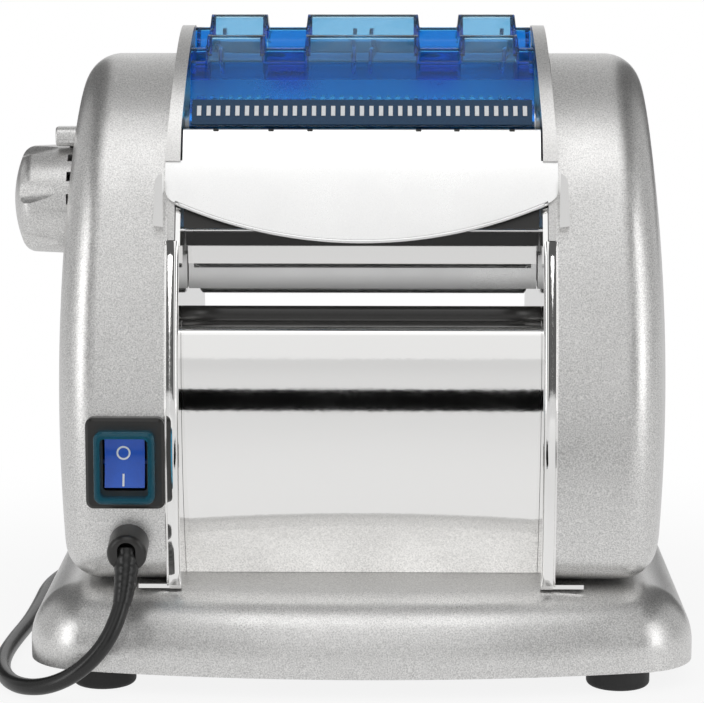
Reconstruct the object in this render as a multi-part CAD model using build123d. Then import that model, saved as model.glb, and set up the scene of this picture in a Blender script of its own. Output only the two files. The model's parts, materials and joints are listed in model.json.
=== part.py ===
from build123d import *
import math
import os

os.makedirs("parts", exist_ok=True)

# Electric pasta maker. Millimetres, X across, Y from front (-) to rear (+), Z up.
# Everything is drawn about the middle plane of the rollers and moved by CENTRE_X when it
# is saved, so that the origin is under the middle of the whole object, on its floor.

# ---- driving dimensions ----
OPENING_HALF = 75.0  # half the clear width between the side plates
SHEET = 2.0  # sheet of the side plates
BASE_HALF_X = 140.0
BASE_HALF_Y = 103.0
BASE_TOP = 41.5
BASE_BOTTOM = 9.0
BASE_BOW_RADIUS = 550.0  # front and rear edges are bowed
BASE_CORNER = 28.0
BASE_TOP_ROUND = 25.0
BASE_WALL = 3.0
FOOT_RADIUS = 13.3
FOOT_X = 108.0
FOOT_Y = 75.0

ARCH_HALF_DEPTH = 86.0  # side view of the housings: half ellipses above and below
ARCH_WIDEST_Z = 100.0
HOUSING_CROWN = 260.0
CHEEK_CROWN = 272.0
LOWER_CURVE = 150.0
HOUSING_FOOT = 43.5
HOUSING_INNER_X = 80.0
HOUSING_OUTER_X = 131.3
HOUSING_WALL = 3.0
RIM_DEPTH = 12.0  # rim inside the open side of each housing
RIM_THICK = 1.8
HOUSING_ROUND = 16.0
BULGE_RADIUS = 826.0  # bulge of the outer wall, seen from the front
BULGE_PLAN_RADIUS = 433.0  # and from above
BULGE_Z = 110.0

FLANGE_TOP = 184.0  # top of the side plates' front and rear flanges
SIDE_PLATE_TOP = 214.0

ROLLER_RADIUS = 17.5
ROLLER_HALF = 71.8
JOURNAL_RADIUS = 6.0
DRIVE_AXIS = (12.9, 171.0)  # Y, Z
ADJUSTABLE_AXIS = (-19.2, 187.2)
ROLLER_TRAVEL = 3.0
RUNNING = 0.06  # radial clearance of a shaft in its bearing

CUTTER_RADIUS = 11.5
CUTTER_PITCH = 4.0
RIDGE = 1.8
CUTTER_TEETH = 35
CUTTER_HALF = 73.0
CUTTER_JOURNAL = 4.0
CUTTER_FRONT_AXIS = (-27.0, 230.66)
CUTTER_REAR_AXIS = (-5.0, 230.66)

COUPLING_MODULE = 1.8
COUPLING_TEETH = 20
DRIVE_MODULE = 1.25
DRIVE_TEETH = 48
IDLER_TEETH = 18
PINION_TEETH = 15
IDLER_AXIS = (-5.0, 208.16)
CUTTER_COUPLING_MODULE = 1.1
CUTTER_COUPLING_TEETH = 20
MOTOR_MODULE = 1.0
MOTOR_GEAR_TEETH = 60
MOTOR_PINION_TEETH = 12
INTERMEDIATE_AXIS = (18.3, 132.0)
MOTOR_AXIS = (-5.0, 104.56)
MOTOR_RADIUS = 33.0

KNOB_AXIS = (-20.0, 198.8)
KNOB_FACE_X = 149.0  # distance of the knob's face from the middle plane, on the left
KNOB_RADII = (22.6, 23.8)  # the knob widens a little towards the housing
KNOB_TURN = 252.0  # degrees, from the thinnest sheet to the thickest
CAM_LOW = 6.0  # spiral cam on the knob's shaft
CAM_START = 82.0
CAM_END = 87.0
PEG_RADIUS = 2.0

CORD_DIAMETER = 7.0

CENTRE_X = (KNOB_FACE_X - BASE_HALF_X) / 2
BIG = 600.0


# ---- helpers ----
def save(name, shape):
    """Writes one node, centred under the whole object."""
    placed = Pos(CENTRE_X, 0, 0) * shape
    placed.label = name
    export_step(placed, f"parts/{name}.step")


def slab(face, start_x, end_x):
    """A face drawn in side view (Y, Z), made solid from one X to another."""
    return Pos(start_x, 0, 0) * extrude(Plane.YZ * face, end_x - start_x, dir=(1, 0, 0))


def cylinder_x(radius, centre, start_x, end_x):
    """A round bar along X, at a (Y, Z) centre."""
    return slab(Pos(*centre) * Circle(radius), start_x, end_x)


def box(x_range, y_range, z_range):
    """A block from its lowest and highest values along each axis."""
    size = [high - low for low, high in (x_range, y_range, z_range)]
    middle = [(high + low) / 2 for low, high in (x_range, y_range, z_range)]
    return Pos(*middle) * Box(*size)


def other_side(shape):
    """The same piece on the other side of the middle plane."""
    return mirror(shape, about=Plane.YZ)


def rear_side(shape):
    """The same piece at the rear."""
    return mirror(shape, about=Plane.XZ)


def band(low, high):
    """A wide rectangle in side view between two heights."""
    return Pos(0, (low + high) / 2) * Rectangle(BIG, high - low)


def arch_face(inset, crown, low):
    """Side view: half ellipses above and below the widest level, cut level at the foot."""
    centre = Pos(0, ARCH_WIDEST_Z)
    depth = ARCH_HALF_DEPTH - inset
    upper = centre * Ellipse(depth, crown - ARCH_WIDEST_Z - inset)
    lower = centre * Ellipse(depth, LOWER_CURVE - inset)
    above = upper - band(-BIG, ARCH_WIDEST_Z)
    below = lower - band(ARCH_WIDEST_Z, BIG)
    return above + below - band(-BIG, low)


def arch_slab(inset, crown, heights, start_x, end_x):
    """The housings' side view made solid between two heights and two X values."""
    block = slab(arch_face(inset, crown, heights[0]), start_x, end_x)
    if heights[1] < crown - inset:
        block &= box((start_x - 1, end_x + 1), (-BIG, BIG), (heights[0] - 1, heights[1]))
    return block


def barrel(outer_x, bulge_z, radius, plan_radius):
    """A turned barrel whose side wall bulges to outer_x at the height bulge_z."""
    wall = Pos(outer_x - radius, bulge_z) * Circle(radius)
    axis_x = outer_x - plan_radius
    half = Pos(axis_x + BIG / 2, bulge_z) * Rectangle(BIG, BIG)
    return revolve(Plane.XZ * (wall & half), Axis((axis_x, 0, 0), (0, 0, 1)), 360)


def gear_face(module, teeth, width_share=0.42, bore=0.0, phase=0.0):
    """A spur gear in side view; phase turns it by that share of one tooth."""
    pitch_radius = module * teeth / 2
    tip = pitch_radius + module
    root = pitch_radius - 1.25 * module
    step = 2 * math.pi / teeth
    points = []
    for tooth in range(teeth):
        middle = (tooth + phase) * step
        for radius, share in ((root, -0.31), (tip, -width_share / 4), (tip, width_share / 4), (root, 0.31)):
            angle = middle + share * step
            points.append((radius * math.cos(angle), radius * math.sin(angle)))
    face = make_face(Polyline(*points, close=True))
    if bore:
        face -= Circle(bore)
    return face


def gear(module, teeth, centre, start_x, end_x, bore, phase=0.0):
    """A spur gear on an axis along X."""
    return slab(Pos(*centre) * gear_face(module, teeth, bore=bore, phase=phase), start_x, end_x)


def meshing_phase(centre_a, teeth_a, phase_a, centre_b, teeth_b):
    """The phase that puts a gap of gear b against a tooth of gear a."""
    direction = math.atan2(centre_b[1] - centre_a[1], centre_b[0] - centre_a[0])
    step_a = 2 * math.pi / teeth_a
    step_b = 2 * math.pi / teeth_b
    beyond = direction / step_a - phase_a
    return (direction + math.pi) / step_b + beyond + 0.5


def sheet_face(points, thickness, bend=3.0):
    """A bent sheet in side view: a middle line with round bends, given a thickness."""
    line = FilletPolyline(*points, radius=bend) if len(points) > 2 else Line(*points)
    return make_face(offset(line, thickness / 2))


# ---- base ----
def base_plan(inset):
    """The base seen from above: a rectangle with bowed ends and round corners."""
    bow = BASE_BOW_RADIUS - inset
    bow_centre = BASE_BOW_RADIUS - BASE_HALF_Y
    plan = Rectangle(2 * (BASE_HALF_X - inset), 2 * BASE_HALF_Y)
    plan &= Pos(0, bow_centre) * Circle(bow)
    plan &= Pos(0, -bow_centre) * Circle(bow)
    return fillet(plan.vertices(), BASE_CORNER - inset)


def base_body(inset):
    """The base's outer form, or its hollow, with the wide round along the top edge."""
    height = BASE_TOP - inset - BASE_BOTTOM
    block = Pos(0, 0, BASE_BOTTOM) * extrude(base_plan(inset), height)
    top_edges = block.faces().sort_by(Axis.Z)[-1].edges()
    return fillet(top_edges, BASE_TOP_ROUND - inset)


FOOT_PLACES = [(x, y) for x in (-FOOT_X, FOOT_X) for y in (-FOOT_Y, FOOT_Y)]
PLATE_THICK = 2.5
SCREW_RADIUS = 2.0
BOSS_RADIUS = 6.0


def base_shell():
    shell = base_body(0) - base_body(BASE_WALL)
    for x, y in FOOT_PLACES:
        boss_height = BASE_TOP - BASE_WALL - BASE_BOTTOM - PLATE_THICK
        boss = Cylinder(BOSS_RADIUS, boss_height + 1, align=(Align.CENTER, Align.CENTER, Align.MIN))
        boss &= Pos(-x, -y, -BASE_BOTTOM - PLATE_THICK) * base_body(BASE_WALL)
        shell += Pos(x, y, BASE_BOTTOM + PLATE_THICK) * boss
        shell -= Pos(x, y, BASE_BOTTOM + 9) * Cylinder(SCREW_RADIUS, 18)
    return shell


def base_plate():
    plate = Pos(0, 0, BASE_BOTTOM) * extrude(base_plan(BASE_WALL + 0.3), PLATE_THICK)
    for x, y in FOOT_PLACES:
        plate -= Pos(x, y, BASE_BOTTOM) * Cylinder(SCREW_RADIUS + 0.2, 10)
    for column in range(-4, 5):
        plate -= Pos(column * 9, 0, BASE_BOTTOM) * Box(4, 34, 10)
    return plate


def foot():
    block = Pos(0, 0, BASE_BOTTOM / 2) * Cylinder(FOOT_RADIUS, BASE_BOTTOM)
    block = fillet(block.edges().sort_by(Axis.Z)[0], 2)
    block -= Pos(0, 0, 2.5) * Cylinder(4.6, 5)
    return block - Pos(0, 0, BASE_BOTTOM) * Cylinder(SCREW_RADIUS + 0.2, 12)


def foot_screws():
    head = Pos(0, 0, 3.8) * Cylinder(4.2, 2.4)
    head -= Pos(0, 0, 2.6) * Box(5, 1, 1.6)
    head -= Pos(0, 0, 2.6) * Box(1, 5, 1.6)
    screw = head + Pos(0, 0, 14) * Cylinder(SCREW_RADIUS, 18)
    return Compound([Pos(x, y, 0) * screw for x, y in FOOT_PLACES])


# ---- housings ----
def housing_body(inset):
    """The outer form of the right housing, or its hollow."""
    profile = arch_face(inset, HOUSING_CROWN, HOUSING_FOOT + inset)
    foot_corners = profile.vertices().sort_by(Axis.Y)[:2]
    profile = fillet(foot_corners, HOUSING_ROUND + 1 - inset)
    block = slab(profile, HOUSING_INNER_X, HOUSING_OUTER_X + 40)
    outer_x = HOUSING_OUTER_X - inset
    block &= barrel(outer_x, BULGE_Z, BULGE_RADIUS, BULGE_PLAN_RADIUS)
    outer_edges = [e for e in block.edges() if e.bounding_box().min.X > HOUSING_INNER_X + 5]
    return fillet(outer_edges, HOUSING_ROUND - inset)


def right_housing():
    """A hollow housing with a rim round its open side, all but the foot."""
    rim_end = HOUSING_INNER_X + RIM_THICK
    hollow = housing_body(HOUSING_WALL) - box((60, rim_end), (-BIG, BIG), (-BIG, BIG))
    window_foot = HOUSING_FOOT + HOUSING_WALL
    window = arch_slab(RIM_DEPTH, HOUSING_CROWN, (window_foot, BIG), 60, rim_end + 5)
    return housing_body(0) - hollow - window


SWITCH_X = -96.9
SWITCH_Z = 96.8
ROCKER_PIVOT = (-85.8, SWITCH_Z)  # Y, Z
ROCKER_HALF = 10.2
ROCKER_TILT = 6.0  # degrees to each side of level; it rests with its upper half pressed
ROCKER_PIN = 1.2
ROCKER_PIN_END = 10.2
BEZEL_SIZE = (32.6, 38.0)
COVER_SIZE = (25.0, 30.2)
COVER_Z = 95.8
KNOB_HOLE_RADIUS = 24.7
GLAND_PLACE = (-96.3, 61.3)  # X, Z
GLAND_RADIUS = 8.3
GLAND_NECK = 5.0


def left_housing():
    """The control housing, with openings for the switch, the lead and the knob."""
    shell = other_side(right_housing())
    shell -= Pos(SWITCH_X, -80, SWITCH_Z) * Box(24, 40, 27)
    shell -= Pos(GLAND_PLACE[0], -80, GLAND_PLACE[1]) * Rot(90, 0, 0) * Cylinder(GLAND_NECK, 30)
    return shell - cylinder_x(KNOB_HOLE_RADIUS, KNOB_AXIS, -140, -110)


# ---- frame ----
FOOT_FLANGE = 1.8
CARRIER_HALF = 10.0  # sliding block of the adjustable roller
BUSH_RADIUS = 9.0
CUTTER_BUSH_RADIUS = 6.5
STUD_RADIUS = 4.0
ROD_PLACES = ((-48.0, 55.0), (48.0, 55.0), (46.0, 188.0))
ROD_RADIUS = 4.0
ROD_SCREW = 2.5
FRAME_INNER = OPENING_HALF
FRAME_OUTER = OPENING_HALF + SHEET


def carrier_slot(clearance):
    """The window that the sliding block moves in, drawn in side view."""
    travel = ROLLER_TRAVEL + clearance
    width = 2 * CARRIER_HALF + travel + clearance
    centre_y = ADJUSTABLE_AXIS[0] - (travel - clearance) / 2
    return Pos(centre_y, ADJUSTABLE_AXIS[1]) * Rectangle(width, 2 * (CARRIER_HALF + clearance))


def right_side_plate():
    low = BASE_TOP
    plate = arch_slab(4, HOUSING_CROWN, (low, SIDE_PLATE_TOP), FRAME_INNER, FRAME_OUTER)
    flanges = arch_slab(0, HOUSING_CROWN, (low, FLANGE_TOP), FRAME_INNER, HOUSING_INNER_X)
    plate += flanges - arch_slab(SHEET, HOUSING_CROWN, (0, BIG), FRAME_OUTER, HOUSING_INNER_X)
    foot_end = 78.5
    plate += box((FRAME_INNER, FRAME_INNER + 18), (-foot_end, foot_end), (low, low + FOOT_FLANGE))
    plate -= slab(Pos(*DRIVE_AXIS) * Circle(BUSH_RADIUS), 70, 82)
    plate -= slab(carrier_slot(0.3), 70, 82)
    for place in ROD_PLACES:
        plate -= cylinder_x(ROD_SCREW, place, 70, 82)
    return plate


def drilled_right_side_plate():
    """The gear side also has the holes of the studs and of the motor shaft."""
    plate = right_side_plate()
    plate -= cylinder_x(3, IDLER_AXIS, 70, 82)
    plate -= cylinder_x(3, INTERMEDIATE_AXIS, 70, 82)
    return plate - cylinder_x(8, MOTOR_AXIS, 70, 82)


FRONT_ARC_RADIUS = 190.0
FRONT_ARC_CENTRE = (120.5, 125.0)  # Y, Z
FRONT_SHEET = 1.5
HEM_RADIUS = 3.5
FRONT_HEM_Z = 155.0
REAR_HEM_Z = 134.0


def front_sheet(hem_z):
    """A curved plate between the side plates, with a rolled hem along its top."""
    centre = Pos(*FRONT_ARC_CENTRE)
    sheet = centre * (Circle(FRONT_ARC_RADIUS) - Circle(FRONT_ARC_RADIUS - FRONT_SHEET))
    sheet &= Pos(-BIG / 2, (BASE_TOP + hem_z) / 2) * Rectangle(BIG, hem_z - BASE_TOP)
    rise = hem_z - FRONT_ARC_CENTRE[1]
    outer_y = FRONT_ARC_CENTRE[0] - math.sqrt(FRONT_ARC_RADIUS**2 - rise**2)
    hem = Pos(outer_y + HEM_RADIUS, hem_z) * (Circle(HEM_RADIUS) - Circle(HEM_RADIUS - FRONT_SHEET))
    return slab(sheet + hem, -FRAME_INNER, FRAME_INNER)


def tie_rods():
    """Spacers between the side plates, with their screw ends and nuts."""
    rods = []
    for place in ROD_PLACES:
        rod = cylinder_x(ROD_RADIUS, place, -FRAME_INNER, FRAME_INNER)
        rod += cylinder_x(ROD_SCREW, place, -FRAME_OUTER - 3, FRAME_OUTER + 3)
        nut = slab(Pos(*place) * RegularPolygon(4.6, 6), FRAME_OUTER, FRAME_OUTER + 2.6)
        rods.append(rod + nut + other_side(nut))
    return Compound(rods)


def motor_tray():
    """A level sheet over the motor, which keeps flour off it."""
    return box((-FRAME_INNER, FRAME_INNER), (-61, 60), (138.4, 139.6))


# ---- cutter head ----
CHEEK_FOOT = 187.0
CHEEK_SEAM = 214.2
CHEEK_LEG = 12.0  # depth of the cheek's two legs beside the side plate
CHEEK_OUTER_X = 81.4
CHEEK_CREST_X = (72.5, 77.9)  # the cheek's edge leans inward to its crest
CHEEK_LEAN_Z = 232.0  # its inner side is upright up to here
CHEEK_LIP = 5.5  # depth of the leaning edge on the inner side, which ends behind the crest
CHEEK_LIP_Y = 9.0
COVER_INSET = 1.0
COVER_SHEET = 2.0
COVER_TOP = 231.4
LEDGE_Z = 219.0
LIP_Z = 186.9
LIP_SAGITTA = 14.2


def right_cheek():
    """End plate of the head; its front edge steps back where the noodle cover wraps it."""
    cheek = arch_slab(0, CHEEK_CROWN, (CHEEK_SEAM, BIG), CHEEK_CREST_X[0], CHEEK_OUTER_X + 1)
    cheek -= arch_slab(-0.2, HOUSING_CROWN, (0, BIG), HOUSING_INNER_X, 90)
    leaning = make_face(
        Polyline(
            (FRAME_INNER, CHEEK_SEAM - 1),
            (CHEEK_OUTER_X, CHEEK_SEAM - 1),
            (CHEEK_OUTER_X, LEDGE_Z),
            (CHEEK_CREST_X[1], CHEEK_CROWN),
            (CHEEK_CREST_X[1], CHEEK_CROWN + 5),
            (CHEEK_CREST_X[0], CHEEK_CROWN + 5),
            (CHEEK_CREST_X[0], CHEEK_CROWN),
            (FRAME_INNER, CHEEK_LEAN_Z),
            close=True,
        )
    )
    cheek &= Pos(0, BIG / 2, 0) * extrude(Plane.XZ * leaning, BIG, dir=(0, -1, 0))
    cheek -= arch_slab(CHEEK_LIP, CHEEK_CROWN, (0, BIG), 60, FRAME_INNER)
    cheek -= box((60, FRAME_INNER), (CHEEK_LIP_Y, BIG), (0, BIG))
    leg = arch_slab(0, CHEEK_CROWN, (CHEEK_FOOT, CHEEK_SEAM + 1), FRAME_OUTER + 0.2, HOUSING_INNER_X)
    cheek += leg - arch_slab(CHEEK_LEG, CHEEK_CROWN, (0, BIG), 60, 100)
    step = arch_slab(-5, CHEEK_CROWN, (0, LEDGE_Z), 60, 90)
    step -= arch_slab(COVER_INSET + COVER_SHEET, CHEEK_CROWN, (0, BIG), 60, 90)
    cheek -= step & box((50, 100), (-BIG, 0), (0, BIG))
    for axis in (CUTTER_FRONT_AXIS, CUTTER_REAR_AXIS):
        cheek -= cylinder_x(CUTTER_BUSH_RADIUS, axis, 70, 85)
    return cheek


def wrap_sheet(half_width, low, high):
    """A bent sheet that follows the head's outline, front and rear."""
    outer = arch_slab(COVER_INSET, CHEEK_CROWN, (low, high), -half_width, half_width)
    hollow = arch_slab(COVER_INSET + COVER_SHEET, CHEEK_CROWN, (low - 5, BIG), -100, 100)
    return outer - hollow


def noodle_cover():
    """The bright cover under the cutters, with a bowed lip that wraps the cheeks."""
    wide = HOUSING_INNER_X + 1.2
    narrow = FRAME_INNER - 0.8
    sheet = wrap_sheet(wide, LIP_Z - 2, COVER_TOP)
    end_z = LIP_Z + LIP_SAGITTA
    outline = make_face(
        Polyline((-wide, end_z + 3), (-wide, LEDGE_Z), (-narrow, LEDGE_Z), (-narrow, BIG), (narrow, BIG))
        + Polyline((narrow, BIG), (narrow, LEDGE_Z), (wide, LEDGE_Z), (wide, end_z + 3))
        + ThreePointArc((wide, end_z + 3), (0, LIP_Z), (-wide, end_z + 3))
    )
    corners = outline.vertices().sort_by(Axis.Y)[:2]
    outline = fillet(corners, 6)
    front = Pos(0, -10, 0) * extrude(Plane.XZ * outline, 100, dir=(0, -1, 0))
    ledge = box((-narrow, narrow), (-54.6, -50), (COVER_TOP - 1.5, COVER_TOP))
    beside = arch_slab(-0.2, HOUSING_CROWN, (0, BIG), HOUSING_INNER_X - 0.1, 90)
    return (sheet & front) + ledge - beside - other_side(beside)


def rear_cover():
    sheet = wrap_sheet(FRAME_INNER, 150, 262)
    return sheet & box((-90, 90), (10, 120), (140, 300))


GUARD_WALL = 2.0
GUARD_HALF = 72.0
HUMPS = ((-66.0, -40.3), (-24.5, 24.5), (40.3, 66.0))
FRONT_GUARD_HUMP = [(-51, 232.4), (-43.5, 243), (-39, 259), (-33, 269.3), (-21.5, 269.3), (-18, 250)]
FRONT_GUARD_LOW = [(-51, 232.4), (-43.5, 243), (-39, 258.5), (-34, 264), (-21.5, 264), (-18, 250)]
REAR_GUARD_HUMP = [(-13, 250), (-10.5, 266), (-4.5, 277.3), (6, 276.5), (12, 268), (13, 256)]
REAR_GUARD_LOW = [(-13, 250), (-10.5, 266), (-5.5, 271.5), (6, 271), (12, 265), (13, 256)]


def guard_block(points, inset, start_x, end_x):
    """A filled guard profile, or its hollow, which is open below."""
    face = make_face(Polyline(*points, close=True))
    bends = face.vertices().sort_by(Axis.Y)[-3:]
    face = fillet([v for v in bends if v.Y > 260], 2.5)
    if inset:
        face = offset(face, -inset)
        face += Pos(0, -1.2 * inset) * face
        face += Pos(0, -3 * inset) * face
    return slab(face, start_x + inset, end_x - inset)


def guard(hump_points, low_points):
    """A clear finger guard: a low channel with three raised humps."""
    outer = guard_block(low_points, 0, -GUARD_HALF, GUARD_HALF)
    inner = guard_block(low_points, GUARD_WALL, -GUARD_HALF, GUARD_HALF)
    for start_x, end_x in HUMPS:
        outer += guard_block(hump_points, 0, start_x, end_x)
        inner += guard_block(hump_points, GUARD_WALL, start_x, end_x)
    return outer - inner


# ---- rollers and what carries them ----
def sheet_roller(axis, right_end):
    """A smooth roller with its journals; the right one reaches the gears."""
    roller = cylinder_x(ROLLER_RADIUS, axis, -ROLLER_HALF, ROLLER_HALF)
    roller = chamfer(roller.edges().filter_by(GeomType.CIRCLE), 0.8)
    return roller + cylinder_x(JOURNAL_RADIUS, axis, -FRAME_OUTER - 2.6, right_end)


def sliding_carriers():
    """Bearing blocks of the adjustable roller; the left one has the cam follower."""
    inner_face = (ROLLER_HALF + 0.5, FRAME_INNER - 0.2)
    outer_face = (FRAME_OUTER + 0.2, FRAME_OUTER + 2.6)
    place = Pos(*ADJUSTABLE_AXIS)
    lip = place * RectangleRounded(2 * CARRIER_HALF + 3, 2 * CARRIER_HALF + 3, 2)
    core = place * Rectangle(2 * CARRIER_HALF, 2 * CARRIER_HALF)
    block = slab(core, inner_face[0], outer_face[1])
    block += slab(lip, *inner_face)
    block += slab(lip, *outer_face)
    block -= cylinder_x(JOURNAL_RADIUS + RUNNING, ADJUSTABLE_AXIS, 60, 90)
    left = other_side(block)
    follower = (KNOB_AXIS[0] - CAM_LOW - 0.2 - PEG_RADIUS, KNOB_AXIS[1])
    lug = Pos(follower[0], follower[1] - 4) * RectangleRounded(2 * PEG_RADIUS + 2, 12, 1)
    left += slab(lug, -outer_face[1], -outer_face[0])
    left += cylinder_x(PEG_RADIUS, follower, -CAM_END - 1, -outer_face[0])
    return Compound([left, block])


def front_scraper():
    """A blade under the adjustable roller, hung from the sliding blocks."""
    blade_y = ADJUSTABLE_AXIS[0] - 4.2
    blade_top = ADJUSTABLE_AXIS[1] - ROLLER_RADIUS - 0.2
    ear = (ROLLER_HALF + 0.6, FRAME_INNER - 0.3)
    blade = box((-ear[1], ear[1]), (blade_y - 0.6, blade_y + 0.6), (160.5, blade_top))
    ear_top = ADJUSTABLE_AXIS[1] - CARRIER_HALF - 1.5
    arm = box(ear, (blade_y - 0.6, blade_y + 8), (160.5, ear_top))
    return blade + arm + other_side(arm)


def rear_scraper():
    """A blade behind the drive roller, fixed between the side plates."""
    angle = math.radians(-30)
    reach = ROLLER_RADIUS + 0.3
    touch = (DRIVE_AXIS[0] + reach * math.cos(angle), DRIVE_AXIS[1] + reach * math.sin(angle))
    bend = (touch[0] + 5.5, touch[1] + 2.5)
    face = sheet_face([(touch[0] + 0.6, touch[1]), bend, (bend[0] + 8, bend[1] + 12)], 1.2, 2)
    return slab(face, -FRAME_INNER, FRAME_INNER)


def roller_bushes():
    sleeve = cylinder_x(BUSH_RADIUS, DRIVE_AXIS, FRAME_INNER - 1, FRAME_OUTER + 0.6)
    sleeve += cylinder_x(BUSH_RADIUS + 1.5, DRIVE_AXIS, ROLLER_HALF + 0.6, FRAME_INNER)
    sleeve -= cylinder_x(JOURNAL_RADIUS + RUNNING, DRIVE_AXIS, 60, 90)
    return [sleeve, other_side(sleeve)]


def cutter_roller(axis, shift, right_end):
    """A cutter roller turned with ridges at the noodle width; shift staggers the pair."""
    core = CUTTER_RADIUS - 2.2
    first = -CUTTER_PITCH * (CUTTER_TEETH - 1) / 2 + shift
    outline = [(-CUTTER_HALF, 0), (-CUTTER_HALF, core)]
    for tooth in range(CUTTER_TEETH):
        middle = first + tooth * CUTTER_PITCH
        low, high = middle - RIDGE / 2, middle + RIDGE / 2
        outline += [(low, core), (low, CUTTER_RADIUS), (high, CUTTER_RADIUS), (high, core)]
    outline += [(CUTTER_HALF, core), (CUTTER_HALF, 0)]
    turned = revolve(make_face(Polyline(*outline, close=True)), Axis.X, 360)
    roller = Pos(0, *axis) * turned
    return roller + cylinder_x(CUTTER_JOURNAL, axis, -HOUSING_INNER_X, right_end)


def cutter_bushes():
    bushes = []
    for axis in (CUTTER_FRONT_AXIS, CUTTER_REAR_AXIS):
        bush = cylinder_x(CUTTER_BUSH_RADIUS, axis, CUTTER_HALF + 0.4, HOUSING_INNER_X)
        bush -= cylinder_x(CUTTER_JOURNAL + RUNNING, axis, 60, 90)
        bushes += [bush, other_side(bush)]
    return bushes


def comb(axis, side, shift):
    """A bar with one finger in each groove of its cutter roller."""
    core = CUTTER_RADIUS - 2.2
    bar_y = sorted((axis[0] + side * 10.5, axis[0] + side * 12.9))
    bar_z = (axis[1] - 9.5, axis[1] - 5.5)
    body = box((-FRAME_INNER, FRAME_INNER), bar_y, bar_z)
    first = -CUTTER_PITCH * (CUTTER_TEETH - 2) / 2 + shift
    finger_y = sorted((axis[0] + side * (core - 3.3), axis[0] + side * 10.5))
    for gap in range(CUTTER_TEETH - 1):
        middle = first + gap * CUTTER_PITCH
        body += box((middle - 0.7, middle + 0.7), finger_y, (axis[1] - 9.5, axis[1] - 7.5))
    return body


def noodle_deflector():
    """A slanted sheet that leads the noodles from the cutters to the front cover."""
    face = sheet_face([(-8, 215), (-60, 190.5), (-64, 190.5)], 1.2, 4)
    return slab(face, -FRAME_INNER, FRAME_INNER)


def hopper_walls():
    """Two sheets that lead the dough from the rear slot to the smooth rollers."""
    front = slab(sheet_face([(15.2, 256), (6.5, 201)], 1.2), -FRAME_INNER, FRAME_INNER)
    rear = slab(sheet_face([(26, 258), (22, 240), (9.5, 192)], 1.2, 20), -FRAME_INNER, FRAME_INNER)
    return Compound([front, rear])


# ---- gears ----
COUPLING_X = (83.0, 91.0)
DRIVE_X = (94.0, 101.0)
MOTOR_GEAR_X = (104.0, 110.0)
DRIVE_PHASE = 0.0
PAIR_PHASE = meshing_phase(DRIVE_AXIS, COUPLING_TEETH, 0.0, ADJUSTABLE_AXIS, COUPLING_TEETH)
IDLER_PHASE = meshing_phase(DRIVE_AXIS, DRIVE_TEETH, DRIVE_PHASE, IDLER_AXIS, IDLER_TEETH)
CUTTER_PHASE = meshing_phase(IDLER_AXIS, IDLER_TEETH, IDLER_PHASE, CUTTER_REAR_AXIS, IDLER_TEETH)
CUTTER_PAIR_PHASE = meshing_phase(
    CUTTER_REAR_AXIS, CUTTER_COUPLING_TEETH, 0.0, CUTTER_FRONT_AXIS, CUTTER_COUPLING_TEETH
)
PINION_PHASE = meshing_phase(DRIVE_AXIS, DRIVE_TEETH, DRIVE_PHASE, INTERMEDIATE_AXIS, PINION_TEETH)
MOTOR_PHASE = meshing_phase(INTERMEDIATE_AXIS, MOTOR_GEAR_TEETH, 0.0, MOTOR_AXIS, MOTOR_PINION_TEETH)


def idler_gear():
    bore = STUD_RADIUS + RUNNING
    wheel = gear(DRIVE_MODULE, IDLER_TEETH, IDLER_AXIS, *DRIVE_X, bore, IDLER_PHASE)
    sleeve = cylinder_x(STUD_RADIUS + 2.3, IDLER_AXIS, DRIVE_X[0] - 1.5, DRIVE_X[1] + 1.5)
    return wheel + (sleeve - cylinder_x(bore, IDLER_AXIS, 80, 110))


def intermediate_gear():
    """The large motor gear and the small pinion, turned in one piece."""
    bore = STUD_RADIUS + RUNNING
    large = gear(MOTOR_MODULE, MOTOR_GEAR_TEETH, INTERMEDIATE_AXIS, *MOTOR_GEAR_X, bore)
    small = gear(DRIVE_MODULE, PINION_TEETH, INTERMEDIATE_AXIS, *DRIVE_X, bore, PINION_PHASE)
    sleeve = cylinder_x(6.3, INTERMEDIATE_AXIS, HOUSING_INNER_X + 1.5, MOTOR_GEAR_X[1] + 1.5)
    return large + small + (sleeve - cylinder_x(bore, INTERMEDIATE_AXIS, 70, 120))


def stud(axis, flange_radius, end_x):
    """A fixed stud on the gear side, with its flange, its screw end and a retaining disc."""
    body = cylinder_x(STUD_RADIUS, axis, FRAME_OUTER, end_x)
    body += cylinder_x(flange_radius, axis, FRAME_OUTER, HOUSING_INNER_X)
    body += cylinder_x(3, axis, FRAME_INNER - 1, FRAME_OUTER)
    return body + cylinder_x(STUD_RADIUS + 1.6, axis, end_x - 1, end_x)


# ---- motor ----
STATOR_HALF = 30.0
ROTOR_RADIUS = 16.6
MOTOR_SHAFT = 4.0
RAIL_RADIUS = 3.5
BRACKET_X = 43.0


def motor_stator():
    core = cylinder_x(MOTOR_RADIUS, MOTOR_AXIS, -STATOR_HALF, STATOR_HALF)
    windings = cylinder_x(MOTOR_RADIUS - 5, MOTOR_AXIS, -STATOR_HALF - 8, STATOR_HALF + 8)
    body = core + windings
    body -= cylinder_x(ROTOR_RADIUS + 0.6, MOTOR_AXIS, -60, 60)
    for angle in (45, 135, 225, 315):
        body -= cylinder_x(RAIL_RADIUS + 0.2, rail_place(angle), -60, 60)
    return body


def rail_place(angle):
    reach = MOTOR_RADIUS - 1.5
    turn = math.radians(angle)
    return (MOTOR_AXIS[0] + reach * math.cos(turn), MOTOR_AXIS[1] + reach * math.sin(turn))


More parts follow.
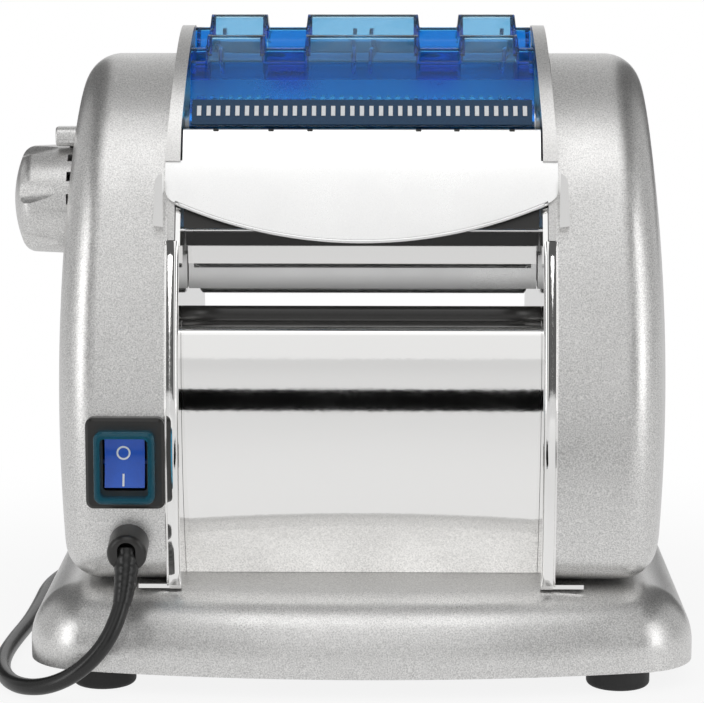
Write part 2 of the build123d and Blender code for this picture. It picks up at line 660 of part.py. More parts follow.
def motor_rotor():
    """Rotor, shaft and the pinion cut on its end."""
    rotor = cylinder_x(ROTOR_RADIUS, MOTOR_AXIS, -STATOR_HALF + 1, STATOR_HALF - 1)
    rotor += cylinder_x(MOTOR_SHAFT, MOTOR_AXIS, -62, MOTOR_GEAR_X[0] - 1)
    pinion_end = (MOTOR_GEAR_X[0] - 1.5, MOTOR_GEAR_X[1] + 1)
    return rotor + gear(MOTOR_MODULE, MOTOR_PINION_TEETH, MOTOR_AXIS, *pinion_end, 0, MOTOR_PHASE)


def motor_bracket():
    """Two bearing plates on feet, joined by four rails that hold the stator."""
    shield = Pos(*MOTOR_AXIS) * RectangleRounded(62, 60, 12)
    leg = Pos(MOTOR_AXIS[0], (BASE_TOP + 80) / 2) * Rectangle(54, 80 - BASE_TOP)
    plate = slab(shield + leg, BRACKET_X, BRACKET_X + 3)
    plate += box((BRACKET_X, BRACKET_X + 14), (-30, 20), (BASE_TOP, BASE_TOP + 3))
    plate -= cylinder_x(MOTOR_SHAFT + RUNNING, MOTOR_AXIS, 30, 60)
    body = plate + other_side(plate)
    for angle in (45, 135, 225, 315):
        body += cylinder_x(RAIL_RADIUS, rail_place(angle), -BRACKET_X - 1, BRACKET_X + 1)
    return body


def motor_fan():
    hub = cylinder_x(8, MOTOR_AXIS, -61, -49)
    fan = hub + cylinder_x(24, MOTOR_AXIS, -50.5, -49)
    for blade in range(7):
        vane = box((-60, -49), (7, 23), (-0.8, 0.8))
        fan += Pos(0, *MOTOR_AXIS) * Rot(blade * 360 / 7, 0, 0) * vane
    return fan - cylinder_x(MOTOR_SHAFT, MOTOR_AXIS, -70, -40)


# ---- knob, switch and lead ----
SKIRT_END = 117.0
SKIRT_WALL = 2.5
GRIP_END = 130.0
KNOB_DOME = 50.0
KNOB_ROUND = 6.0
SLOT_COUNT = 15
SLOT_X = 121.7
SLOT_TURN = 12.7  # degrees from the top to the first slot
FLUTE_COUNT = 6
FLUTE_TURN = 17.0


def dome_depth(radius):
    """How far the knob's domed face falls back at a radius."""
    return KNOB_DOME - math.sqrt(KNOB_DOME**2 - radius**2)


def thickness_knob():
    """The fluted grip with its domed face, and the skirt with its ring of slots."""
    length = KNOB_FACE_X - SKIRT_END
    rim = (dome_depth(KNOB_RADII[0]), KNOB_RADII[0])
    halfway = (dome_depth(KNOB_RADII[0] / 2), KNOB_RADII[0] / 2)
    profile = make_face(
        ThreePointArc((0, 0), halfway, rim) + Polyline(rim, (length, KNOB_RADII[1]), (length, 0), (0, 0))
    )
    profile = fillet(profile.vertices().sort_by_distance((*rim, 0))[0], KNOB_ROUND)
    knob = Pos(-KNOB_FACE_X, *KNOB_AXIS) * revolve(profile, Axis.X, 360)
    knob -= cylinder_x(KNOB_RADII[0] - SKIRT_WALL, KNOB_AXIS, -GRIP_END, -SKIRT_END)
    knob += cylinder_x(9, KNOB_AXIS, -GRIP_END - 1, -SKIRT_END)
    centre = Pos(0, *KNOB_AXIS)
    slot = Pos(-SLOT_X, 0, KNOB_RADII[1]) * Box(6.4, 4.3, 9)
    for place in range(SLOT_COUNT):
        knob -= centre * Rot(SLOT_TURN + place * 360 / SLOT_COUNT, 0, 0) * slot
    scoop = Cone(11.4, 5.3, 26)
    flute = Pos(-KNOB_FACE_X + 7, 0, KNOB_RADII[0] + 6.0) * Rot(0, 90, 0) * scoop
    for place in range(FLUTE_COUNT):
        knob -= centre * Rot(FLUTE_TURN + place * 360 / FLUTE_COUNT, 0, 0) * flute
    return knob - cylinder_x(STUD_RADIUS, KNOB_AXIS, -KNOB_FACE_X + 6, -SKIRT_END + 1)


def cam_radius(turned):
    """Radius of the spiral cam after a turn in degrees; it falls back over the rest."""
    if turned <= KNOB_TURN:
        return CAM_LOW + ROLLER_TRAVEL * turned / KNOB_TURN
    back = (360 - turned) / (360 - KNOB_TURN)
    return CAM_LOW + ROLLER_TRAVEL * back


def knob_shaft():
    """The knob's shaft with the spiral cam that pushes the roller away."""
    points = []
    for turned in range(0, 360, 12):
        angle = math.radians(180 - turned)
        reach = cam_radius(turned)
        points.append((reach * math.cos(angle), reach * math.sin(angle)))
    cam = make_face(Spline(*points, periodic=True))
    shaft = cylinder_x(STUD_RADIUS, KNOB_AXIS, -KNOB_FACE_X + 6, -CAM_START + 1)
    return shaft + slab(Pos(*KNOB_AXIS) * cam, -CAM_END, -CAM_START)


def knob_bracket():
    """An angle on the left side plate that carries the knob's shaft."""
    top = SIDE_PLATE_TOP - 1
    plate_x = (-92.0, -89.5)
    bracket = box(plate_x, (KNOB_AXIS[0] - 8, KNOB_AXIS[0] + 8), (KNOB_AXIS[1] - 8, top))
    bracket += box((plate_x[0], -FRAME_OUTER), (KNOB_AXIS[0] - 8, KNOB_AXIS[0] + 8), (top - 2.5, top))
    return bracket - cylinder_x(STUD_RADIUS + RUNNING, KNOB_AXIS, -95, -85)


POINTER_PLACE = (-28.5, 226.4)  # Y, Z


def index_pointer():
    """The small pointer on the housing above the knob."""
    block = RectangleRounded(11, 8.2, 3.4)
    pointer = Pos(0, *POINTER_PLACE) * slab(block, -130.0, -112)
    pointer = fillet(pointer.edges().group_by(Axis.X)[0], 0.8)
    return pointer - other_side(housing_body(0))


def switch_bezel():
    """The dark frame of the switch, which follows the housing behind it."""
    width, height = BEZEL_SIZE
    outline = RectangleRounded(width, height, 3.2)
    outline -= RectangleRounded(18.2, 22.4, 1.5)
    frame = Pos(SWITCH_X, -80, SWITCH_Z) * extrude(Plane.XZ * outline, 10.5, dir=(0, -1, 0))
    front_edges = frame.faces().sort_by(Axis.Y)[0].outer_wire().edges()
    frame = chamfer(front_edges, 1.2) - other_side(housing_body(0))
    neck = Pos(SWITCH_X, -81, SWITCH_Z) * Box(23.6, 14, 26.6)
    neck -= Pos(SWITCH_X, -80, SWITCH_Z) * Box(18.2, 40, 22.4)
    pin_end = SWITCH_X + ROCKER_PIN_END + 0.2
    return frame + neck - cylinder_x(ROCKER_PIN + RUNNING, ROCKER_PIVOT, 2 * SWITCH_X - pin_end, pin_end)


def switch_rocker():
    """The rocker, slightly hollow across its face, on two side pins."""
    y, z = ROCKER_PIVOT
    front = y - 5.2
    face = make_face(
        Polyline((y + 3, z), (y, z - ROCKER_HALF + 2), (front - 0.6, z - ROCKER_HALF))
        + ThreePointArc((front - 0.6, z - ROCKER_HALF), (front + 0.8, z), (front - 0.6, z + ROCKER_HALF))
        + Polyline((front - 0.6, z + ROCKER_HALF), (y, z + ROCKER_HALF - 2), (y + 3, z))
    )
    rocker = slab(face, SWITCH_X - 8.2, SWITCH_X + 8.2)
    rocker += cylinder_x(ROCKER_PIN, ROCKER_PIVOT, SWITCH_X - ROCKER_PIN_END, SWITCH_X + ROCKER_PIN_END)
    return rocker.rotate(Axis((0, y, z), (1, 0, 0)), -ROCKER_TILT)


def switch_cover():
    """The clear splash collar round the rocker."""
    width, height = COVER_SIZE
    ring = RectangleRounded(width, height, 3.4) - RectangleRounded(width - 5.2, height - 5.4, 2.2)
    collar = Pos(SWITCH_X, -90.5, COVER_Z) * extrude(Plane.XZ * ring, 5.5, dir=(0, -1, 0))
    return fillet(collar.faces().sort_by(Axis.Y)[0].outer_wire().edges(), 1.6)


def switch_body():
    """The block behind the bezel, with its two blade terminals."""
    body = Pos(SWITCH_X, -67, SWITCH_Z) * Box(20, 14, 24)
    for height in (-6, 6):
        body += Pos(SWITCH_X, -56, SWITCH_Z + height) * Box(6.3, 9, 0.8)
    return body


GLAND_TILT = 12.0
GLAND_FRONT = -95.5
CORD_EXIT = (GLAND_PLACE[0], -90.0, 60.5)


def cord_gland():
    """The black cap that the lead leaves, slotted below, with a neck through the wall."""
    x, z = GLAND_PLACE
    cap = Cylinder(GLAND_RADIUS, 18, align=(Align.CENTER, Align.CENTER, Align.MAX))
    cap = fillet(cap.edges().sort_by(Axis.Z)[-1], 2.5)
    cap = Pos(x, GLAND_FRONT, z - 2) * Rot(90 + GLAND_TILT, 0, 0) * cap
    cap -= other_side(housing_body(0))
    slot_width = CORD_DIAMETER + 0.6
    cap -= Pos(x, GLAND_FRONT, z - 10) * Box(slot_width, 2 * 9.2, 20)
    cap -= Pos(x, GLAND_FRONT, z) * Rot(90, 0, 0) * Cylinder(slot_width / 2, 2 * 9.2)
    neck = Pos(x, -82, z) * Rot(90, 0, 0) * Cylinder(GLAND_NECK, 8)
    return cap + neck


CORD_ROUTE = [
    CORD_EXIT,
    (-96.6, -95.5, 49.0),
    (-98.1, -102.0, 38.0),
    (-104.3, -108.0, 24.3),
    (-115.8, -109.2, 12.9),
    (-129.6, -104.6, 5.8),
    (-142.9, -94.3, 3.5),
    (-151.5, -75.0, 3.5),
    (-154.5, -50.0, 3.5),
    (-153.5, -23.0, 3.5),
    (-150.7, 8.0, 3.5),
    (-149.9, 43.0, 3.5),
    (-150.2, 78.0, 3.5),
    (-142.5, 112.0, 3.5),
    (-127.0, 146.0, 3.5),
    (-112.7, 173.75, 3.5),
]
COIL_CENTRE = (-75.0, 152.0)
COIL_RADII = (29.5, 43.5)  # middle lines of the innermost and outermost turns
COIL_LAYERS = 2
PLUG_AXIS = (188.0, 18.5)  # Y, Z
PLUG_BACK = -20.0
TAIL_ROUTE = [
    (COIL_CENTRE[0], COIL_CENTRE[1] + COIL_RADII[1], 10.5),
    (-56.0, 195.6, 11.5),
    (-38.0, 191.5, 16.5),
    (PLUG_BACK, PLUG_AXIS[0], PLUG_AXIS[1]),
]


def bend_radii(points):
    """For each corner of a route, the largest round that its two runs allow."""
    radii = []
    for before, corner, after in zip(points, points[1:], points[2:]):
        arriving = Vector(*corner) - Vector(*before)
        leaving = Vector(*after) - Vector(*corner)
        half_turn = math.radians(arriving.get_angle(leaving)) / 2
        shorter = min(arriving.length, leaving.length)
        radii.append(0.45 * shorter / math.tan(half_turn))
    return radii


def cord_tube(name, points):
    """The lead along one route: straight runs joined by tangent arcs."""
    radii = bend_radii(points)
    path = FilletPolyline(*points, radius=radii)
    section = Plane(origin=path @ 0, z_dir=path % 0) * Circle(CORD_DIAMETER / 2)
    tube = sweep(section, path=path)
    expected = math.pi * CORD_DIAMETER**2 / 4 * path.length
    print(name, "length", round(path.length, 1), "volume share", round(tube.volume / expected, 4))
    print(name, "radii", [round(radius, 1) for radius in radii])
    return tube


def cord_coil():
    """The outer shape of the wound part of the lead."""
    half = CORD_DIAMETER / 2
    height = COIL_LAYERS * CORD_DIAMETER
    ring = Cylinder(COIL_RADII[1] + half, height) - Cylinder(COIL_RADII[0] - half, height)
    ring = fillet(ring.edges().filter_by(GeomType.CIRCLE), 2.5)
    return Pos(*COIL_CENTRE, height / 2) * ring


def mains_plug():
    """A moulded plug that lies beside the coil, with its strain relief and two pins."""
    outline = [(0, 0), (0, 3.9), (28, 6), (31, 9), (47, 16.5), (49, 18.5), (62, 18.5), (63.5, 17), (63.5, 0)]
    plug = revolve(make_face(Polyline(*outline, close=True)), Axis.X, 360)
    for side in (-1, 1):
        pin = Pos(63.5 + 8, side * 9.5, 0) * Rot(0, 90, 0) * Cylinder(2.4, 22)
        plug += fillet(pin.edges().sort_by(Axis.X)[-1], 1.5)
    return Pos(PLUG_BACK, *PLUG_AXIS) * plug


# ---- small metal parts ----
def hook_tab():
    """The bright catch beside the noodle cover, on the right side."""
    outline = Polyline((81.4, 193), (85.6, 193.6), (84.4, 212.5), (83.0, 214.5), (81.4, 215.2), close=True)
    tab = Pos(0, -70.5, 0) * extrude(Plane.XZ * make_face(outline), 5.2, dir=(0, -1, 0))
    return tab - housing_body(0)


# ---- writing the nodes ----
for x, y in FOOT_PLACES:
    side = "left" if x < 0 else "right"
    end = "front" if y < 0 else "rear"
    save(f"foot_{end}_{side}", Pos(x, y, 0) * foot())
save("base_shell", base_shell())
save("base_plate", base_plate())
save("foot_screws", foot_screws())

save("right_housing", right_housing())
save("left_housing", left_housing())
save("right_side_plate", drilled_right_side_plate())
save("left_side_plate", other_side(right_side_plate()))
save("front_plate", front_sheet(FRONT_HEM_Z))
save("rear_plate", rear_side(front_sheet(REAR_HEM_Z)))
save("tie_rods", tie_rods())
save("motor_tray", motor_tray())

save("right_cheek", right_cheek())
save("left_cheek", other_side(right_cheek()))
save("noodle_cover", noodle_cover())
save("rear_cover", rear_cover())
save("front_guard", guard(FRONT_GUARD_HUMP, FRONT_GUARD_LOW))
save("rear_guard", guard(REAR_GUARD_HUMP, REAR_GUARD_LOW))
save("cover_catches", Compound([hook_tab(), other_side(hook_tab())]))
save("noodle_deflector", noodle_deflector())
save("hopper_walls", hopper_walls())

save("drive_roller", sheet_roller(DRIVE_AXIS, DRIVE_X[1] + 1))
save("adjustable_roller", sheet_roller(ADJUSTABLE_AXIS, COUPLING_X[1] + 1))
save("sliding_carriers", sliding_carriers())
save("roller_bushes", Compound(roller_bushes() + cutter_bushes()))
save("front_scraper", front_scraper())
save("rear_scraper", rear_scraper())
save("cutter_front_roller", cutter_roller(CUTTER_FRONT_AXIS, CUTTER_PITCH / 4, COUPLING_X[1] + 1))
save("cutter_rear_roller", cutter_roller(CUTTER_REAR_AXIS, -CUTTER_PITCH / 4, DRIVE_X[1] + 1))
front_comb = comb(CUTTER_FRONT_AXIS, -1, CUTTER_PITCH / 4)
rear_comb = comb(CUTTER_REAR_AXIS, 1, -CUTTER_PITCH / 4)
save("cutter_combs", Compound([front_comb, rear_comb]))

drive_coupling = (COUPLING_MODULE, COUPLING_TEETH)
save("drive_roller_gear", gear(*drive_coupling, DRIVE_AXIS, *COUPLING_X, JOURNAL_RADIUS))
save(
    "adjustable_roller_gear",
    gear(*drive_coupling, ADJUSTABLE_AXIS, *COUPLING_X, JOURNAL_RADIUS, PAIR_PHASE),
)
save("drive_gear", gear(DRIVE_MODULE, DRIVE_TEETH, DRIVE_AXIS, *DRIVE_X, JOURNAL_RADIUS, DRIVE_PHASE))
save("idler_gear", idler_gear())
idler_stud = stud(IDLER_AXIS, 5.5, DRIVE_X[1] + 3)
intermediate_stud = stud(INTERMEDIATE_AXIS, 9, MOTOR_GEAR_X[1] + 3)
save("gear_studs", Compound([idler_stud, intermediate_stud]))
save(
    "cutter_drive_gear",
    gear(DRIVE_MODULE, IDLER_TEETH, CUTTER_REAR_AXIS, *DRIVE_X, CUTTER_JOURNAL, CUTTER_PHASE),
)
cutter_coupling = (CUTTER_COUPLING_MODULE, CUTTER_COUPLING_TEETH)
save("cutter_rear_gear", gear(*cutter_coupling, CUTTER_REAR_AXIS, *COUPLING_X, CUTTER_JOURNAL))
save(
    "cutter_front_gear",
    gear(*cutter_coupling, CUTTER_FRONT_AXIS, *COUPLING_X, CUTTER_JOURNAL, CUTTER_PAIR_PHASE),
)
save("intermediate_gear", intermediate_gear())
save("motor_stator", motor_stator())
save("motor_rotor", motor_rotor())
save("motor_bracket", motor_bracket())
save("motor_fan", motor_fan())

save("thickness_knob", thickness_knob())
save("knob_shaft", knob_shaft())
save("knob_bracket", knob_bracket())
save("index_pointer", index_pointer())
save("switch_bezel", switch_bezel())
save("switch_body", switch_body())
save("switch_rocker", switch_rocker())
save("switch_cover", switch_cover())
save("cord_gland", cord_gland())
save("cord", cord_tube("cord", CORD_ROUTE))
save("cord_coil", cord_coil())
save("cord_tail", cord_tube("cord_tail", TAIL_ROUTE))
save("mains_plug", mains_plug())
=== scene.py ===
import json
import math

import bpy
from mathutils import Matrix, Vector
from mathutils.bvhtree import BVHTree


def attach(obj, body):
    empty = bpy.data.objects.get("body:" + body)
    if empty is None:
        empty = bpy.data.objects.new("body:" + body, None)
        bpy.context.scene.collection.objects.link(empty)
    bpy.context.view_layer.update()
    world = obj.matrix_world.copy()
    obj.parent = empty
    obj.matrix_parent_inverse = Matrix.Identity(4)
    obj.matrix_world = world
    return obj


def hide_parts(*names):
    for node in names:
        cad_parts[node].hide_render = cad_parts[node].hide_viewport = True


# Electric pasta maker: finishes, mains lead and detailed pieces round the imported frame.
# Metres, X across, Y from front (-) to rear (+), Z up. Sizes below are in the source's
# millimetres, whose middle plane of the rollers lies at X = CENTRE_X here.
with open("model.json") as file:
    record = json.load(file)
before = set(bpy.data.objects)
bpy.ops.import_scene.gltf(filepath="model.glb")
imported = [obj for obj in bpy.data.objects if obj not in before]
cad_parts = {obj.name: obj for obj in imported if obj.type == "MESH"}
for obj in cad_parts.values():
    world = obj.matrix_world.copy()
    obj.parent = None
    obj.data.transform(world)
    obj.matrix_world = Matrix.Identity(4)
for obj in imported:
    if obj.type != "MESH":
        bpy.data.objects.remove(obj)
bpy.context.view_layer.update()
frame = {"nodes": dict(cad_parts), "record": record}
nodes = frame["nodes"]
scene = bpy.context.scene

MM = 0.001
CENTRE_X = 4.5 * MM

# ---- camera ----
PHOTO_WIDTH = 704.0
FOCAL_PX = 2768.0
SENSOR = 36.0
CAMERA_PLACE = (CENTRE_X + 11.8 * MM, -1204 * MM, 325 * MM)
CAMERA_DOWN = 9.24  # degrees below level
CAMERA_TURN = 0.79  # degrees
camera_data = bpy.data.cameras.new("camera")
camera_data.sensor_width = SENSOR
camera_data.lens = FOCAL_PX / PHOTO_WIDTH * SENSOR
camera_data.clip_start = 0.05
camera_data.clip_end = 20.0
camera = bpy.data.objects.new("camera", camera_data)
camera.location = CAMERA_PLACE
camera.rotation_euler = (math.radians(90 - CAMERA_DOWN), 0, math.radians(CAMERA_TURN))
scene.collection.objects.link(camera)
scene.camera = camera


# ---- helpers ----
def point(x, y, z):
    """A place given in the source's millimetres, in the frame's metres."""
    return Vector((x * MM + CENTRE_X, y * MM, z * MM))


def add(name, data, body="frame", slot=None):
    """Puts a mesh or curve in the scene and rides it on its body."""
    piece = bpy.data.objects.new(name, data)
    scene.collection.objects.link(piece)
    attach(piece, body)
    if slot:
        data.materials.append(MATERIALS[slot])
    return piece


def sheet_mesh(name, rows, closed=False):
    """A smooth mesh through rows of places; closed rows join their last place to their first."""
    count = len(rows[0])
    faces = []
    for row in range(len(rows) - 1):
        for column in range(count if closed else count - 1):
            here = row * count + column
            beside = row * count + (column + 1) % count
            faces.append((here, here + count, beside + count, beside))
    mesh = bpy.data.meshes.new(name)
    mesh.from_pydata([place for row in rows for place in row], [], faces)
    mesh.shade_smooth()
    return mesh


def tube_mesh(name, path, radii, sides=20):
    """A round tube along a path, with a radius for each place and flat ends."""
    rows = []
    across = None
    for index, place in enumerate(path):
        ahead = path[min(index + 1, len(path) - 1)] - path[max(index - 1, 0)]
        ahead.normalize()
        if across is None:
            across = ahead.orthogonal()
        across = (across - ahead * across.dot(ahead)).normalized()
        up = ahead.cross(across)
        turns = [2 * math.pi * side / sides for side in range(sides)]
        rows.append([place + (across * math.cos(t) + up * math.sin(t)) * radii[index] for t in turns])
    mesh = sheet_mesh(name, rows, closed=True)
    bottom = list(range(sides))
    top = [(len(rows) - 1) * sides + side for side in range(sides)]
    all_faces = [tuple(face.vertices) for face in mesh.polygons]
    all_faces += [tuple(bottom), tuple(reversed(top))]
    places = [vertex.co.copy() for vertex in mesh.vertices]
    mesh.clear_geometry()
    mesh.from_pydata(places, [], all_faces)
    mesh.shade_smooth()
    return mesh


def rounded(points, radius, steps=6):
    """A line in side view (Y, Z) whose corners are rounded, each with the same number of places."""
    line = [Vector(points[0])]
    for before, corner, after in zip(points, points[1:], points[2:]):
        corner = Vector(corner)
        arriving = Vector(before) - corner
        leaving = Vector(after) - corner
        reach = radius / math.tan(arriving.angle(leaving) / 2)
        reach = min(reach, 0.45 * arriving.length, 0.45 * leaving.length)
        start = corner + arriving.normalized() * reach
        end = corner + leaving.normalized() * reach
        for step in range(steps + 1):
            share = step / steps
            line.append(start * (1 - share) ** 2 + corner * 2 * share * (1 - share) + end * share**2)
    line.append(Vector(points[-1]))
    return line


def smooth_step(share):
    """Eases a share from 0 to 1, and holds it at both ends."""
    share = min(max(share, 0.0), 1.0)
    return share * share * (3 - 2 * share)


BEVEL_ANGLE = 35
SHARP_ANGLE = 40


def bevelled(piece, width):
    """Rounds a piece's sharp edges so that they catch the light."""
    bevel = piece.modifiers.new("edge_round", "BEVEL")
    bevel.width = width * MM
    bevel.segments = 3
    bevel.limit_method = "ANGLE"
    bevel.angle_limit = math.radians(BEVEL_ANGLE)


def thickened(piece, thickness, offset=-1.0, crisp=True):
    """Gives a sheet its wall, on the side away from its normals; crisp keeps its rim's edges sharp."""
    wall = piece.modifiers.new("wall", "SOLIDIFY")
    wall.thickness = thickness * MM
    wall.offset = offset
    if crisp:
        sharp = piece.modifiers.new("sharp_edges", "EDGE_SPLIT")
        sharp.split_angle = math.radians(SHARP_ANGLE)


# ---- materials ----
WEAR_SCALE = 35  # larger patches that vary the gloss with the grain
SHADE_STOPS = (0.35, 0.65)
GLOSS_STOPS = (0.3, 0.7)


def math_node(tree, operation, *values, clamp=False):
    """A maths node on values that are numbers or other nodes' outputs."""
    node = tree.nodes.new("ShaderNodeMath")
    node.operation = operation
    node.use_clamp = clamp
    for socket, value in zip(node.inputs, values):
        if isinstance(value, float):
            socket.default_value = value
        else:
            tree.links.new(value, socket)
    return node.outputs["Value"]


def noise_node(tree, coords, scale, detail):
    """A noise texture that lies still on the object."""
    noise = tree.nodes.new("ShaderNodeTexNoise")
    noise.inputs["Scale"].default_value = scale
    noise.inputs["Detail"].default_value = detail
    tree.links.new(coords.outputs["Object"], noise.inputs["Vector"])
    return noise.outputs["Fac"]


def material(name, color, metallic, roughness, grain, tint=0.0, **inputs):
    """A Principled material. grain is the noise's size in metres, its bump strength and how far
    it moves the roughness; tint is how far it moves the colour."""
    mat = bpy.data.materials.new(name)
    mat.use_nodes = True
    tree = mat.node_tree
    shader = tree.nodes["Principled BSDF"]
    shader.inputs["Base Color"].default_value = (*color, 1)
    shader.inputs["Metallic"].default_value = metallic
    shader.inputs["Roughness"].default_value = roughness
    for key, value in inputs.items():
        shader.inputs[key.replace("_", " ")].default_value = value
    size, bump_strength, change = grain
    coords = tree.nodes.new("ShaderNodeTexCoord")
    noise = noise_node(tree, coords, 1 / size, 4)
    wear = noise_node(tree, coords, WEAR_SCALE, 3)
    mixed = math_node(tree, "MULTIPLY_ADD", noise, 0.5, math_node(tree, "MULTIPLY", wear, 0.5))
    spread = tree.nodes.new("ShaderNodeMapRange")
    spread.inputs["From Min"].default_value = GLOSS_STOPS[0]
    spread.inputs["From Max"].default_value = GLOSS_STOPS[1]
    spread.inputs["To Min"].default_value = max(roughness - change, 0.02)
    spread.inputs["To Max"].default_value = roughness + change
    tree.links.new(mixed, spread.inputs["Value"])
    tree.links.new(spread.outputs["Result"], shader.inputs["Roughness"])
    if tint:
        shades = tree.nodes.new("ShaderNodeValToRGB")
        stops = zip(shades.color_ramp.elements, SHADE_STOPS, (1 - tint, 1 + tint))
        for element, position, share in stops:
            element.position = position
            element.color = (*[min(channel * share, 1.0) for channel in color], 1)
        tree.links.new(noise, shades.inputs["Fac"])
        tree.links.new(shades.outputs["Color"], shader.inputs["Base Color"])
    bump = tree.nodes.new("ShaderNodeBump")
    bump.inputs["Strength"].default_value = bump_strength
    bump.inputs["Distance"].default_value = size * 0.2
    tree.links.new(noise, bump.inputs["Height"])
    tree.links.new(bump.outputs["Normal"], shader.inputs["Normal"])
    return mat


TINTED = {"Transmission_Weight": 0.96, "IOR": 1.36}
CLOUDY = {"Transmission_Weight": 0.8, "IOR": 1.3}
MATERIALS = {
    "silver_paint": material(
        "silver_paint", (0.72, 0.715, 0.705), 0.85, 0.34, (0.00055, 0.35, 0.08), 0.24, Coat_Weight=0.15
    ),
    "bright_steel": material("bright_steel", (0.90, 0.895, 0.885), 1.0, 0.05, (0.002, 0.015, 0.02)),
    "satin_steel": material("satin_steel", (0.93, 0.93, 0.925), 1.0, 0.30, (0.0004, 0.15, 0.06), 0.03),
    "roller_steel": material("roller_steel", (0.82, 0.82, 0.82), 1.0, 0.14, (0.0008, 0.04, 0.04)),
    "plain_steel": material("plain_steel", (0.56, 0.56, 0.56), 1.0, 0.34, (0.0008, 0.1, 0.08), 0.05),
    "clear_blue": material("clear_blue", (0.08, 0.44, 0.84), 0.0, 0.03, (0.004, 0.01, 0.01), **TINTED),
    "clear_teal": material("clear_teal", (0.07, 0.42, 0.62), 0.0, 0.05, (0.003, 0.01, 0.02), **CLOUDY),
    "rocker_blue": material(
        "rocker_blue", (0.010, 0.100, 0.55), 0.0, 0.22, (0.0008, 0.03, 0.03), 0.04, Coat_Weight=0.2
    ),
    "black_plastic": material("black_plastic", (0.022, 0.021, 0.020), 0.0, 0.32, (0.0006, 0.15, 0.06), 0.1),
    "white_plastic": material("white_plastic", (0.78, 0.78, 0.75), 0.0, 0.4, (0.001, 0.05, 0.05), 0.02),
    "black_rubber": material("black_rubber", (0.016, 0.016, 0.016), 0.0, 0.6, (0.0008, 0.2, 0.1), 0.1),
    "cord_black": material("cord_black", (0.013, 0.013, 0.013), 0.0, 0.30, (0.0008, 0.08, 0.05), 0.1),
    "motor_iron": material("motor_iron", (0.1, 0.1, 0.11), 0.6, 0.5, (0.001, 0.2, 0.08), 0.05),
}
for entry in frame["record"]["subparts"]:
    node = nodes[entry["node"]]
    node.data.materials.clear()
    node.data.materials.append(MATERIALS[entry["material_slot"]])
# looks beside the record's slots: the cheeks are duller than their slot's steel in the photo
CHEEK_GREY = material("cheek_grey", (0.66, 0.655, 0.645), 0.9, 0.32, (0.0006, 0.25, 0.06), 0.14)
for cheek in ("left_cheek", "right_cheek"):
    nodes[cheek].data.materials[0] = CHEEK_GREY
# a lighter copy of the guards' clear blue for the humps' top faces: painted light from the bright sky they
# reflect
HUMP_LIT_BLUE = material("hump_lit_blue", (0.42, 0.70, 0.88), 0.0, 0.03, (0.004, 0.01, 0.01), **TINTED)
# a darker copy of the guards' clear blue for the webs at the hump ends: painted shade
END_SHADE_BLUE = material("end_shade_blue", (0.02, 0.13, 0.62), 0.0, 0.05, (0.004, 0.01, 0.01), **TINTED)
# a dark blue for the band on the guard's foot: painted shade of the cutters behind it
CUTTER_SHADE_PAINT = material(
    "cutter_shade_paint", (0.016, 0.055, 0.120), 0.0, 0.2, (0.001, 0.05, 0.05), 0.1, Specular_IOR_Level=0.2
)
# white for the switch's printed marks and for the painted highlights on the cutters' edges
WHITE_PRINT_AND_GLINT = material("white_print_and_glint", (0.80, 0.82, 0.84), 0.0, 0.35, (0.001, 0.03, 0.03), 0.02)

# ---- mains lead ----
CORD_RADIUS = 3.5
CORD_ROUTE = [
    (-96.3, -90.0, 60.5),
    (-96.6, -95.5, 49.0),
    (-98.1, -102.0, 38.0),
    (-104.3, -108.0, 24.3),
    (-115.8, -109.2, 12.9),
    (-129.6, -104.6, 5.8),
    (-142.9, -94.3, 3.5),
    (-151.5, -75.0, 3.5),
    (-154.5, -50.0, 3.5),
    (-153.5, -23.0, 3.5),
    (-150.7, 8.0, 3.5),
    (-149.9, 43.0, 3.5),
    (-150.2, 78.0, 3.5),
    (-142.5, 112.0, 3.5),
    (-127.0, 146.0, 3.5),
    (-112.7, 173.75, 3.5),
]
COIL_CENTRE = (-75.0, 152.0)
COIL_START = 150.0  # degrees; the turns run clockwise seen from above
COIL_STEP = 20.0
COIL_END = 1860.0
# degrees turned and the radius or height there; the lead eases from each to the next
COIL_RADIUS = [
    (285, 43.5), (345, 36.5), (645, 36.5), (705, 29.5),
    (1245, 29.5), (1305, 36.5), (1605, 36.5), (1665, 43.5),
]
COIL_HEIGHT = [(945, 3.5), (1005, 10.5)]
TAIL_ROUTE = [(-75.0, 195.5, 10.5), (-56.0, 195.6, 11.5), (-38.0, 191.5, 16.5), (-20.0, 188.0, 18.5)]


def stepped(table, turned):
    """The value at a turn, easing between the places in the table."""
    if turned <= table[0][0]:
        return table[0][1]
    for (low, before), (high, after) in zip(table, table[1:]):
        if turned <= high:
            return before + (after - before) * smooth_step((turned - low) / (high - low))
    return table[-1][1]


def coil_points():
    """The wound length of the lead: two layers of turns, a diameter apart."""
    points = []
    turned = COIL_STEP
    while turned < COIL_END:
        # a control point stands a little outside the line that the spline draws
        reach = stepped(COIL_RADIUS, turned) / math.cos(math.radians(COIL_STEP / 2)) ** 0.5
        angle = math.radians(COIL_START - turned)
        x = COIL_CENTRE[0] + reach * math.cos(angle)
        y = COIL_CENTRE[1] + reach * math.sin(angle)
        points.append((x, y, stepped(COIL_HEIGHT, turned)))
        turned += COIL_STEP
    return points


def nurbs(name, points, radius):
    """A smooth round curve whose control points are the given places."""
    curve = bpy.data.curves.new(name, "CURVE")
    curve.dimensions = "3D"
    curve.bevel_depth = 1.0 if radius else 0.0
    curve.bevel_resolution = 6
    curve.resolution_u = 10
    curve.use_fill_caps = radius > 0
    spline = curve.splines.new("NURBS")
    spline.points.add(len(points) - 1)
    for control, place in zip(spline.points, points):
        control.co = (*place, 1.0)
        control.radius = radius
    spline.order_u = 3
    spline.use_endpoint_u = True
    return curve


def spline_places(points):
    """Places read from the route's own smooth line."""
    line = bpy.data.objects.new("route_line", nurbs("route_line", points, 0.0))
    mesh = bpy.data.meshes.new_from_object(line)
    places = [vertex.co.copy() for vertex in mesh.vertices]
    bpy.data.objects.remove(line)
    return places


